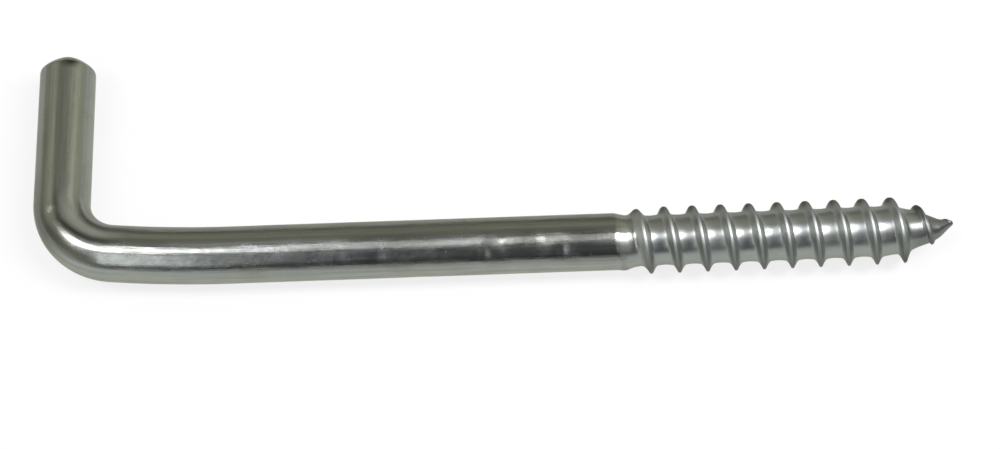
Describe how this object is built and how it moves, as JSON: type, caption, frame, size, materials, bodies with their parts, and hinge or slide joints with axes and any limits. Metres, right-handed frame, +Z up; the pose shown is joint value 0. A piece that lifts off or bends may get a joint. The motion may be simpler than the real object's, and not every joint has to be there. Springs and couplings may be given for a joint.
{
  "type": "screw hook",
  "caption": "Square-bend screw hook: one zinc-plated steel wire with a short blunt arm, a slightly bowed shank, a rolled right-hand wood thread and a gimlet point.",
  "frame": {"origin": "Centre of the base of the hook's box, as it lies on its side: midway between the arm's outer side and the point's tip, midway between the thread's near side and the arm's tip, and level with the lowest thread crest.", "axes": "+X along the shank towards the point, +Y along the arm towards its blunt tip, +Z up, square to the plane that the hook is bent in."},
  "size_m": [0.0862, 0.0252, 0.0063],
  "materials": {
    "zinc_plate": "bright zinc plate on drawn steel wire, smooth to satin, with faint drawing lines and small dents"
  },
  "bodies": {
    "root": {"screw_hook": "zinc_plate"}
  },
  "joints": []
}
